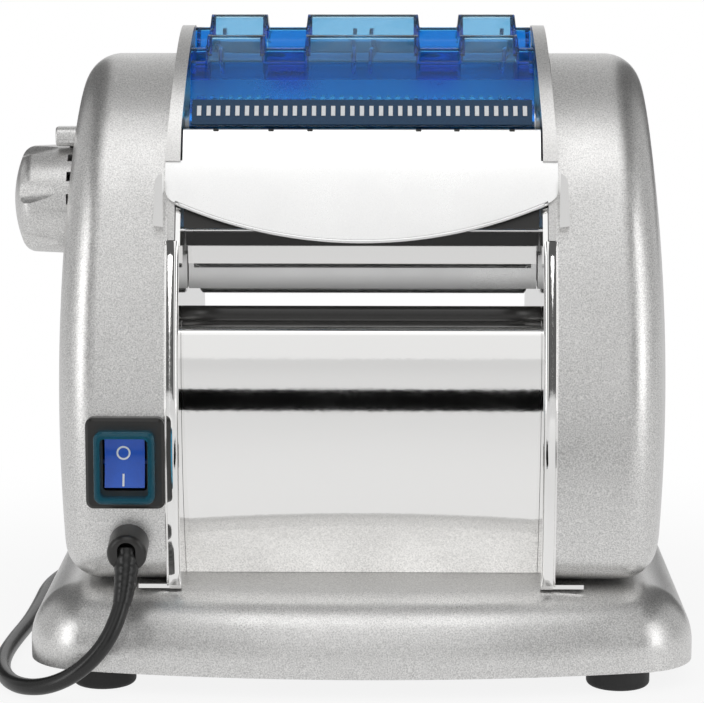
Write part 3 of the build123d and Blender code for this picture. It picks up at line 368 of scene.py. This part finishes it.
route = [point(*place) for place in CORD_ROUTE + coil_points() + TAIL_ROUTE]
cord = add("mains_cord", nurbs("mains_cord", route, CORD_RADIUS * MM), "frame", "cord_black")
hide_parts("cord", "cord_coil", "cord_tail")

RELIEF_LENGTH = 24.0
RELIEF_RADII = (5.4, 3.75)
RELIEF_RIBS = 7
RELIEF_RIB_HEIGHT = 0.18


def strain_relief():
    """A ribbed sleeve that tapers along the first stretch of the lead."""
    places = spline_places(route)
    path, walked = [places[0]], 0.0
    for before, place in zip(places, places[1:]):
        walked += (place - before).length / MM
        if walked > RELIEF_LENGTH:
            break
        path.append(place)
    fine = [a.lerp(b, step / 6) for a, b in zip(path, path[1:]) for step in range(6)] + [path[-1]]
    wide, narrow = RELIEF_RADII
    radii = []
    for index in range(len(fine)):
        share = index / (len(fine) - 1)
        rib = RELIEF_RIB_HEIGHT * math.cos(2 * math.pi * share * RELIEF_RIBS)
        radii.append((wide + (narrow - wide) * share + rib * (1 - share)) * MM)
    return add("strain_relief", tube_mesh("strain_relief", fine, radii), "frame", "cord_black")


relief = strain_relief()

PLUG_PIN_X = (43.0, 62.6)
PLUG_PIN_RADIUS = 2.5
PLUG_PIN_APART = 9.5  # from the plug's axis
PLUG_PIN_TIP = (20, 40, 60, 75, 88)  # degrees round the tip
PLUG_AXIS = (188.0, 18.5)  # Y, Z


def plug_pin(side):
    """A bright round pin of the mains plug, with a rounded tip."""
    low, high = PLUG_PIN_X
    places = [low + (high - low) * step / 8 for step in range(9)]
    tip = [high + PLUG_PIN_RADIUS * math.sin(math.radians(angle)) for angle in PLUG_PIN_TIP]
    radii = [PLUG_PIN_RADIUS] * 9
    radii += [PLUG_PIN_RADIUS * math.cos(math.radians(angle)) for angle in PLUG_PIN_TIP]
    path = [point(x, PLUG_AXIS[0] + side * PLUG_PIN_APART, PLUG_AXIS[1]) for x in places + tip]
    name = "plug_pin_front" if side < 0 else "plug_pin_rear"
    return add(name, tube_mesh(name, path, [radius * MM for radius in radii]), "frame", "roller_steel")


pins = [plug_pin(side) for side in (-1, 1)]

# ---- clear guards ----
GUARD_HALF = 72.0
GUARD_WALL = 2.0
HUMPS = ((-66.0, -40.3), (-24.5, 24.5), (40.3, 66.0))
HUMP_FALL = 0.9  # width over which the sheet rises into a hump
HUMP_FACE_Z = 257.5  # above it a hump takes the lighter blue, painted light
LOW_ROUND = 4.0
HUMP_ROUND = 4.5
END_INSET = 1.9
END_WALL = 1.8
END_FOOT_Z = 259
RIB_WALL = 1.6
RIB_FOOT_Z = 244
FRONT_HUMP = [(-51, 232.4), (-43.5, 243), (-39, 259), (-33, 269.3), (-21.5, 269.3), (-18, 250)]
FRONT_LOW = [(-51, 232.4), (-43.5, 243), (-39, 258.5), (-34, 264), (-21.5, 264), (-18, 250)]
REAR_HUMP = [(-13, 250), (-10.5, 266), (-4.5, 277.0), (6, 276.3), (12, 268), (13, 256)]
REAR_LOW = [(-13, 250), (-10.5, 266), (-5.5, 271.5), (6, 271), (12, 265), (13, 256)]
GUARD_RIBS = (-70.5, -59.5, -3.5, 3.5, 59.5, 70.5)


def hump_share(x):
    """How far the guard is raised at a place along it: 0 between its humps, 1 on them."""
    shares = [smooth_step((x - low) / HUMP_FALL) * smooth_step((high - x) / HUMP_FALL) for low, high in HUMPS]
    return max(shares)


def guard_stations():
    """Places along a guard, closer together where its humps rise."""
    stations = {-GUARD_HALF, GUARD_HALF}
    for low, high in HUMPS:
        for step in range(9):
            stations.add(low + HUMP_FALL * step / 8)
            stations.add(high - HUMP_FALL * step / 8)
    return sorted(stations)


def clear_guard(name, node, low, hump):
    """A moulded guard: one clear sheet that rises smoothly into three humps."""
    low_line = rounded(low, LOW_ROUND)
    hump_line = rounded(hump, HUMP_ROUND)
    rows = []
    for x in guard_stations():
        share = hump_share(x)
        rows.append([point(x, *a.lerp(b, share)) for a, b in zip(low_line, hump_line)])
    piece = add(name, sheet_mesh(name, rows), "frame", "clear_blue")
    thickened(piece, GUARD_WALL, crisp=False)
    bevelled(piece, 0.7)
    # the humps' top faces take the lighter blue: painted light
    piece.data.materials.append(HUMP_LIT_BLUE)
    for face in piece.data.polygons:
        on_hump = hump_share((face.center.x - CENTRE_X) / MM) > 0.5
        face.material_index = int(on_hump and face.center.z > HUMP_FACE_Z * MM)
    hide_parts(node)
    for number, x in enumerate(GUARD_RIBS, 1):
        guard_web(f"{name}_rib_{number}", low_line, x, RIB_FOOT_Z, RIB_WALL)
    # the webs at the hump ends take the darker blue: painted shade
    for number, (low_end, high_end) in enumerate(HUMPS, 1):
        for side, x in (("left", low_end + END_INSET), ("right", high_end - END_INSET)):
            guard_web(f"{name}_{side}_end_{number}", hump_line, x, END_FOOT_Z, END_WALL, END_SHADE_BLUE)


def guard_web(name, line, x, foot_z, wall, mat=None):
    """A flat web across the inside of a guard, above a height; a given mat takes the place of the clear blue,
    as the darker blue of painted shade does at the hump ends.
    """
    kept = [place for place in line if place.y > foot_z]
    middle = sum(kept, Vector((0, 0))) / len(kept)
    outline = [place.lerp(middle, 0.2) for place in kept]
    mesh = bpy.data.meshes.new(name)
    mesh.from_pydata([point(x, *place) for place in outline], [], [tuple(range(len(outline)))])
    if mat:
        mesh.materials.append(mat)
    piece = add(name, mesh, "frame", None if mat else "clear_blue")
    thickened(piece, wall, 0.0, crisp=False)
    bevelled(piece, 0.3)


clear_guard("front_guard_shell", "front_guard", FRONT_LOW, FRONT_HUMP)
clear_guard("rear_guard_shell", "rear_guard", REAR_LOW, REAR_HUMP)

# ---- painted shade and highlights on the front guard's foot ----
SHADE_BAND_HALF = 71.0
GUARD_FOOT = (-51.0, 232.4)
GUARD_FOOT_ALONG = (0.578, 0.816)
GUARD_FOOT_OUT = (-0.816, 0.578)
SHADE_BAND_REACH = (0.6, 12.6)
SHADE_BAND_LIFT = 0.6
SHADE_BAND_WALL = 0.5
GLINT_REACH = (4.7, 9.4)
GLINT_LIFT = 0.95
GLINT_WALL = 0.3
GLINT_PITCH = 4.0
GLINT_WIDTH = 1.75
GLINT_COUNT = 35


def on_guard_foot(x, along, out):
    """A place on the guard's sloping foot, some way up it and out from it."""
    y = GUARD_FOOT[0] + along * GUARD_FOOT_ALONG[0] + out * GUARD_FOOT_OUT[0]
    z = GUARD_FOOT[1] + along * GUARD_FOOT_ALONG[1] + out * GUARD_FOOT_OUT[1]
    return point(x, y, z)


def painted_bars(name, spans, reach, out, wall, mat):
    """Flat bars side by side on the guard's foot, joined in one piece."""
    places, faces = [], []
    for low, high in spans:
        start = len(places)
        corners = ((low, reach[0]), (high, reach[0]), (high, reach[1]), (low, reach[1]))
        places += [on_guard_foot(x, along, out) for x, along in corners]
        faces.append((start, start + 1, start + 2, start + 3))
    mesh = bpy.data.meshes.new(name)
    mesh.from_pydata(places, [], faces)
    mesh.materials.append(mat)
    piece = add(name, mesh)
    thickened(piece, wall)
    bevelled(piece, 0.15)


# a dark band, painted shade of the cutters seen through the guard, and white bars on it, painted highlights
# on the cutters' edges
shade_band_span = [(-SHADE_BAND_HALF, SHADE_BAND_HALF)]
painted_bars("cutter_shade_band", shade_band_span, SHADE_BAND_REACH, SHADE_BAND_LIFT, SHADE_BAND_WALL, CUTTER_SHADE_PAINT)
glint_middles = [GLINT_PITCH * (number - (GLINT_COUNT - 1) / 2) for number in range(GLINT_COUNT)]
glint_spans = [(x - GLINT_WIDTH / 2, x + GLINT_WIDTH / 2) for x in glint_middles]
painted_bars("cutter_glint_marks", glint_spans, GLINT_REACH, GLINT_LIFT, GLINT_WALL, WHITE_PRINT_AND_GLINT)

# ---- noodle cover's rolled lip ----
COVER_HALF = 81.2
LIP_Z = 186.9
LIP_END_Z = 204.1
LIP_INSET = 4.2
LIP_BEAD = 0.9
HEAD_ARCH = (85.0, 100.0, 171.0)  # half depth, foot Z, height


def cover_front(z):
    """Y of the noodle cover's outer face at a height: it follows the head's half ellipse."""
    half_depth, foot_z, height = HEAD_ARCH
    return -half_depth * math.sqrt(1 - ((z - foot_z) / height) ** 2)


def cover_lip():
    """The lip's rolled edge, an arc across the front that turns up at both sides."""
    rise = LIP_END_Z - LIP_Z
    radius = (COVER_HALF**2 + rise**2) / (2 * rise)
    path = []
    for step in range(-32, 33):
        x = (COVER_HALF - LIP_INSET) * step / 32
        z = LIP_Z + radius - math.sqrt(radius**2 - x**2)
        path.append(point(x, cover_front(z) + 0.2, z))
    radii = [LIP_BEAD * MM] * len(path)
    add("cover_lip", tube_mesh("cover_lip", path, radii, 12), "frame", "satin_steel")


cover_lip()

# ---- front plate with its bent top, and a rolled bead in black: a painted reflection of the dark inside ----
PLATE_HALF = 74.9
PLATE_FOOT_Z = 41.6
PLATE_BEND_Z = 146.8
PLATE_ARC = (120.5, 125.0, 190.0)  # centre Y, centre Z, radius
PLATE_TOP = [(-68.0, 147.8), (-67.4, 148.6), (-66.6, 149.3), (-62.4, 152.2)]  # Y, Z of its bent top
PLATE_WALL = 1.5
BEAD_CENTRE = (-61.4, 155.2)
BEAD_RADIUS = 3.2


def front_plate():
    """The bright plate, a shallow arc that bends back at its top, and the bead along it, black as a painted
    reflection of the dark inside of the machine.
    """
    centre_y, centre_z, radius = PLATE_ARC
    line = []
    for step in range(41):
        z = PLATE_FOOT_Z + (PLATE_BEND_Z - PLATE_FOOT_Z) * step / 40
        line.append((centre_y - math.sqrt(radius**2 - (z - centre_z) ** 2), z))
    line += PLATE_TOP
    rows = [[point(x, *place) for place in line] for x in (-PLATE_HALF, 0, PLATE_HALF)]
    piece = add("front_plate_sheet", sheet_mesh("front_plate_sheet", rows), "frame", "bright_steel")
    thickened(piece, PLATE_WALL)
    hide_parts("front_plate")
    # the bead is black plastic in place of the bright rolled top that mirrors the dark inside: a painted
    # reflection
    path = [point(-PLATE_HALF + 2 * PLATE_HALF * step / 8, *BEAD_CENTRE) for step in range(9)]
    add("plate_bead_dark_reflection", tube_mesh("plate_bead_dark_reflection", path, [BEAD_RADIUS * MM] * 9, 32), "frame", "black_plastic")


front_plate()


# ---- strips at the roller, one of them black for painted shade, and a black sheet of painted shade behind the cover ----
STRIP_DEPTH = 0.8
SHADE_SHEET_HALF = 73.5
SHADE_SHEET_LINE = [(-67.6, 191.5), (-65.2, 200), (-60.5, 212), (-54.5, 224)]
SHADE_SHEET_WALL = 0.6


def strip(name, slot, half, y, low, high):
    """A flat strip across the opening, its front face at Y; it moves with the roller's carriers."""
    corners = [point(x, y, z) for x, z in ((-half, low), (half, low), (half, high), (-half, high))]
    mesh = bpy.data.meshes.new(name)
    mesh.from_pydata(corners, [], [(0, 1, 2, 3)])
    piece = add(name, mesh, "carrier", slot)
    thickened(piece, STRIP_DEPTH)
    bevelled(piece, 0.25)


strip("roller_wiper", "bright_steel", half=73.8, y=-38.6, low=173.2, high=180.7)
# a black strip across the opening: painted shade below the roller
strip("roller_shade_strip", "black_plastic", half=74.6, y=-38.9, low=181.0, high=186.6)


def cover_shade_sheet():
    """A black sheet behind the noodle cover: painted shade standing in for the dark inside of the machine."""
    rows = [[point(x, *place) for place in SHADE_SHEET_LINE] for x in (-SHADE_SHEET_HALF, 0, SHADE_SHEET_HALF)]
    piece = add("cover_shade_sheet", sheet_mesh("cover_shade_sheet", rows), "frame", "black_plastic")
    thickened(piece, SHADE_SHEET_WALL)


cover_shade_sheet()

# ---- rolled edges of the side plates ----
RAY_START_Y = -140  # in front of the object
EDGE_HEIGHTS = (43.0, 187.0)
EDGE_RAY_TOP = 183.5  # the side plate ends just above
EDGE_RAY_X = 77.5
EDGE_FADE = 2.5
EDGE_PROFILE = [  # X and how far it stands proud
    (80.1, 0.0), (79.4, 0.22), (78.6, 0.5), (77.6, 0.85), (76.8, 1.1), (76.1, 1.0), (75.6, 0.6), (75.2, 0.0),
]
SEAM_X = 80.6
SEAM_RADIUS = 0.45


def node_surface(name):
    """A CAD node's surface, for rays to meet."""
    data = nodes[name].data
    return BVHTree.FromPolygons([v.co for v in data.vertices], [tuple(p.vertices) for p in data.polygons])


def plate_front(side):
    """Gives a function that finds how far forward the side plate reaches at a height."""
    surface = node_surface("left_side_plate" if side < 0 else "right_side_plate")

    def front(z):
        start = point(side * EDGE_RAY_X, RAY_START_Y, min(z, EDGE_RAY_TOP))
        return surface.ray_cast(start, Vector((0, 1, 0)))[0].y / MM

    return front


def rolled_edge(side, name):
    """The side plate's rolled front edge, and the bright seam beside it."""
    front = plate_front(side)
    low, high = EDGE_HEIGHTS
    heights = [low + (high - low) * step / 48 for step in range(49)]
    rows = []
    for z in heights:
        fade = min(1.0, (high - z) / EDGE_FADE, (z - low) / EDGE_FADE) ** 0.5 if low < z < high else 0.0
        rows.append([point(side * x, front(z) - 0.05 - lift * fade, z) for x, lift in EDGE_PROFILE])
    piece = add(f"{name}_edge", sheet_mesh(f"{name}_edge", rows), "frame", "bright_steel")
    if side > 0:
        piece.data.flip_normals()
    path = [point(side * SEAM_X, front(z) - 0.1, z) for z in heights]
    seam = tube_mesh(f"{name}_seam", path, [SEAM_RADIUS * MM] * len(path), 10)
    add(f"{name}_seam", seam, "frame", "bright_steel")


rolled_edge(-1, "left_plate")
rolled_edge(1, "right_plate")

# ---- switch marks ----
ROCKER_MARK_X = -97.4
RING_Z = 101.4
RING_RADII = (2.15, 2.9)
BAR_HALF = 0.4
BAR_FOOT_Z = 87.8
BAR_HEIGHT = 5.0
PAINT_LIFT = 0.12


def on_rocker(surface, x, z):
    """The place on the rocker's face at x and z, raised by a coat of paint."""
    hit = surface.ray_cast(point(x, RAY_START_Y, z), Vector((0, 1, 0)))[0]
    return hit + Vector((0, -PAINT_LIFT * MM, 0))


def rocker_marks():
    """The white ring and bar that name the switch's two positions."""
    surface = node_surface("switch_rocker")
    turns = [2 * math.pi * side / 36 for side in range(36)]
    rows = []
    for radius in RING_RADII:
        places = [(ROCKER_MARK_X + radius * math.cos(t), RING_Z + radius * math.sin(t)) for t in turns]
        rows.append([on_rocker(surface, *place) for place in places])
    ring = sheet_mesh("rocker_ring_mark", rows, closed=True)
    bar_rows = []
    for x in (-BAR_HALF, BAR_HALF):
        heights = [BAR_FOOT_Z + BAR_HEIGHT * step / 8 for step in range(9)]
        bar_rows.append([on_rocker(surface, ROCKER_MARK_X + x, z) for z in heights])
    bar = sheet_mesh("rocker_bar_mark", bar_rows)
    for mesh in (ring, bar):
        piece = add(mesh.name, mesh, "rocker")
        mesh.materials.append(WHITE_PRINT_AND_GLINT)
        thickened(piece, 0.1, 1.0)


rocker_marks()

# ---- painted shade in the slots of the cover's ledge ----
LEDGE_SLOT_X = (-60.6, -37.7, -21.5, 23.6, 39.5, 62.4)
LEDGE_SLOT_LINE = ((-54.75, 230.6), (-54.75, 231.5), (-52.6, 231.5))  # Y, Z
LEDGE_SLOT_HALF = 1.1


def ledge_slot(number, x):
    """A black patch where a guard foot sits in the ledge of the noodle cover: painted shade in its slot."""
    rows = []
    for place in LEDGE_SLOT_LINE:
        rows.append([point(x + side * LEDGE_SLOT_HALF, *place) for side in (-1, -0.5, 0.5, 1)])
    name = f"ledge_slot_shade_{number}"
    piece = add(name, sheet_mesh(name, rows), "frame", "black_plastic")
    thickened(piece, 0.25, 0.0)


for number, x in enumerate(LEDGE_SLOT_X, 1):
    ledge_slot(number, x)


# ---- floor, light and surroundings ----
def stage_plane(name, centre, size, mat):
    """A flat plane that belongs to the studio, not to the object."""
    half_x, half_y = size[0] / 2, size[1] / 2
    corners = [(-half_x, -half_y, 0), (half_x, -half_y, 0), (half_x, half_y, 0), (-half_x, half_y, 0)]
    mesh = bpy.data.meshes.new(name)
    mesh.from_pydata(corners, [], [(0, 1, 2, 3)])
    mesh.materials.append(mat)
    plane = bpy.data.objects.new(name, mesh)
    plane.location = centre
    scene.collection.objects.link(plane)
    return plane


def on_rays(tree, kinds):
    """A value of 1 on rays of the given kinds and 0 on the others."""
    path = tree.nodes.new("ShaderNodeLightPath")
    total = path.outputs[kinds[0]]
    for kind in kinds[1:]:
        total = math_node(tree, "ADD", total, path.outputs[kind], clamp=True)
    return total


DIRECT_KINDS = ("Is Camera Ray", "Is Transmission Ray")
MIRRORED_KINDS = ("Is Glossy Ray",)
FLOOR_FADE = (0.16, 0.42)  # metres from the middle
DIRECT_WHITE = (0.88, 1.0)  # share of plain white near the object and away from it
MIRRORED_WHITE = (0.66, 0.46)


def floor_share(tree, reach, kinds, white):
    """How plainly white the floor is on some rays, near the object and away from it."""
    fade = tree.nodes.new("ShaderNodeMapRange")
    fade.interpolation_type = "SMOOTHSTEP"
    fade.inputs["From Min"].default_value = FLOOR_FADE[0]
    fade.inputs["From Max"].default_value = FLOOR_FADE[1]
    fade.inputs["To Min"].default_value = white[0]
    fade.inputs["To Max"].default_value = white[1]
    tree.links.new(reach, fade.inputs["Value"])
    return math_node(tree, "MULTIPLY", fade.outputs["Result"], on_rays(tree, kinds))


def floor_material():
    """A pale matt floor that turns plain white away from the object, where it is seen."""
    mat = material("floor", (0.86, 0.86, 0.86), 0.0, 0.7, (0.003, 0.02, 0.05), 0.01)
    tree = mat.node_tree
    coords = tree.nodes.new("ShaderNodeTexCoord")
    reach = tree.nodes.new("ShaderNodeVectorMath")
    reach.operation = "LENGTH"
    tree.links.new(coords.outputs["Object"], reach.inputs[0])
    direct = floor_share(tree, reach.outputs["Value"], DIRECT_KINDS, DIRECT_WHITE)
    mirrored = floor_share(tree, reach.outputs["Value"], MIRRORED_KINDS, MIRRORED_WHITE)
    white = tree.nodes.new("ShaderNodeEmission")
    mix = tree.nodes.new("ShaderNodeMixShader")
    output = tree.nodes["Material Output"]
    tree.links.new(math_node(tree, "MAXIMUM", direct, mirrored), mix.inputs["Fac"])
    tree.links.new(tree.nodes["Principled BSDF"].outputs["BSDF"], mix.inputs[1])
    tree.links.new(white.outputs["Emission"], mix.inputs[2])
    tree.links.new(mix.outputs["Shader"], output.inputs["Surface"])
    return mat


stage_plane("floor", (0, 0, 0), (8, 8), floor_material())

# a dark plane on the floor in front, seen only in reflections
FLAG_CENTRE = (CENTRE_X, -0.597, 0.002)
FLAG_SIZE = (0.5, 0.283)
flag_black = material(
    "flag_black", (0.004, 0.004, 0.004), 0.0, 1.0, (0.01, 0.01, 0.0), 0.1, Specular_IOR_Level=0.0
)
flag = stage_plane("floor_flag", FLAG_CENTRE, FLAG_SIZE, flag_black)
flag.visible_camera = False
flag.visible_diffuse = False
flag.visible_shadow = False


def area_light(name, place, target, size, power):
    """A soft lamp that faces its target."""
    data = bpy.data.lights.new(name, "AREA")
    data.shape = "RECTANGLE"
    data.size, data.size_y = size
    data.energy = power
    lamp = bpy.data.objects.new(name, data)
    lamp.location = place
    aim = Vector(target) - Vector(place)
    lamp.rotation_euler = aim.to_track_quat("-Z", "Y").to_euler()
    scene.collection.objects.link(lamp)


area_light("top_softbox", (0.0, -0.72, 1.45), (0, 0, 0.12), (1.2, 0.6), 2.0)
area_light("left_softbox", (-1.02, -0.85, 0.42), (-0.1, 0, 0.14), (0.34, 1.0), 2.4)
area_light("right_softbox", (1.02, -0.85, 0.42), (0.1, 0, 0.14), (0.34, 1.0), 2.2)

WORLD_DIFFUSE = 0.50
WORLD_PEAK = 1.3
# brightness mirrored from front (0) over the top (0.5) to the rear (1)
SKY_ARCH = [
    (0.0, 0.88), (0.02, 0.90), (0.06, 1.06), (0.15, 1.04), (0.27, 0.88), (0.36, 0.68),
    (0.45, 0.42), (0.62, 0.42), (0.80, 0.58), (1.0, 0.9),
]
# dark cards stand to both sides of the front light: share kept, by how far to the side
SIDE_CARDS = [(0.0, 1.0), (0.22, 1.0), (0.32, 0.1), (0.66, 0.1), (0.76, 1.1), (1.0, 1.1)]

world = bpy.data.worlds.new("studio")
scene.world = world
world.use_nodes = True
sky = world.node_tree
background = sky.nodes["Background"]
background.inputs["Color"].default_value = (1, 1, 1, 1)
direction = sky.nodes.new("ShaderNodeTexCoord")
split = sky.nodes.new("ShaderNodeSeparateXYZ")
sky.links.new(direction.outputs["Generated"], split.inputs["Vector"])


def sky_ramp(value, stops):
    """A brightness read from stops along a value between 0 and 1."""
    node = sky.nodes.new("ShaderNodeValToRGB")
    ramp = node.color_ramp
    ramp.interpolation = "EASE"
    while len(ramp.elements) < len(stops):
        ramp.elements.new(1.0)
    for element, (position, level) in zip(ramp.elements, stops):
        element.position = position
        level /= WORLD_PEAK
        element.color = (level, level, level, 1)
    sky.links.new(value, node.inputs["Fac"])
    return math_node(sky, "MULTIPLY", node.outputs["Color"], WORLD_PEAK)


rearward = math_node(sky, "ADD", math_node(sky, "MULTIPLY", split.outputs["Y"], 0.5), 0.5)
sideways = math_node(sky, "ABSOLUTE", split.outputs["X"])
reflected = math_node(sky, "MULTIPLY", sky_ramp(rearward, SKY_ARCH), sky_ramp(sideways, SIDE_CARDS))
lit = sky.nodes.new("ShaderNodeMix")
lit.inputs["A"].default_value = WORLD_DIFFUSE
sky.links.new(reflected, lit.inputs["B"])
sky.links.new(on_rays(sky, MIRRORED_KINDS), lit.inputs["Factor"])
shown = sky.nodes.new("ShaderNodeMix")
shown.inputs["B"].default_value = 1.0
sky.links.new(lit.outputs["Result"], shown.inputs["A"])
sky.links.new(on_rays(sky, DIRECT_KINDS), shown.inputs["Factor"])
sky.links.new(shown.outputs["Result"], background.inputs["Strength"])

scene.view_settings.view_transform = "Standard"

bpy.context.view_layer.update()
